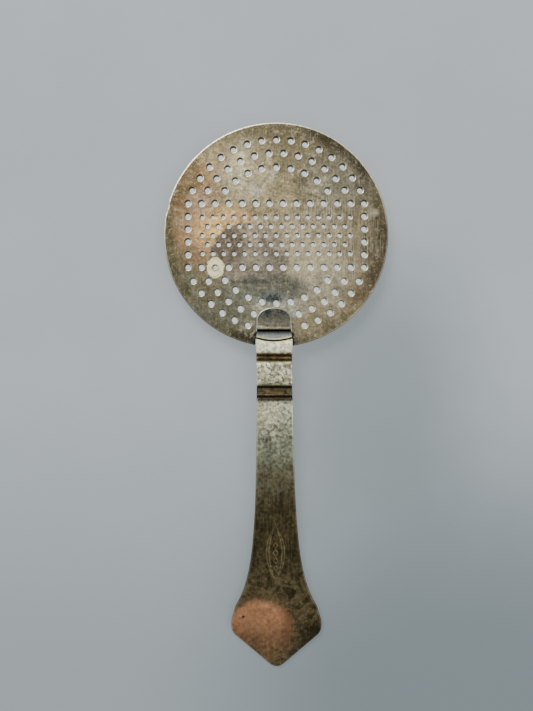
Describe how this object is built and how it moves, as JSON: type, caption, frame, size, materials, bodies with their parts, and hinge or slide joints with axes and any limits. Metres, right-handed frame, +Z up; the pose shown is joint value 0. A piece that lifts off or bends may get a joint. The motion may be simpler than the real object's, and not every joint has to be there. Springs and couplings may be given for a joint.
{
  "type": "hawthorne strainer",
  "caption": "Round perforated cocktail strainer plate with a stepped strip handle that flares at its end and a coil spring under the rim.",
  "frame": {"origin": "on the surface the strainer lies on, below the middle of its length and width", "axes": "+Z up, out of the slightly domed face; +Y from the handle towards the nose of the plate; +X across, to the right seen from above with the nose away"},
  "size_m": [0.084, 0.206, 0.0089],
  "materials": {
    "plate_metal": "worn, tarnished silver plate over brass, satin, with stains and fine scratches",
    "handle_metal": "worn silver plate over brass, bright on the crests and brown in the grooves",
    "spring_steel": "drawn spring wire, dulled"
  },
  "bodies": {
    "strainer": {"plate": "plate_metal", "handle": "handle_metal", "coil_left": "spring_steel", "coil_right": "spring_steel"},
    "coil_nose": {"coil_front": "spring_steel"}
  },
  "joints": [
    {"name": "coil_squeeze", "type": "slide", "parent": "strainer", "child": "coil_nose", "axis": [0, -1, 0], "range_m": [0, 0.004], "stiffness_N_per_m": 120}
  ]
}
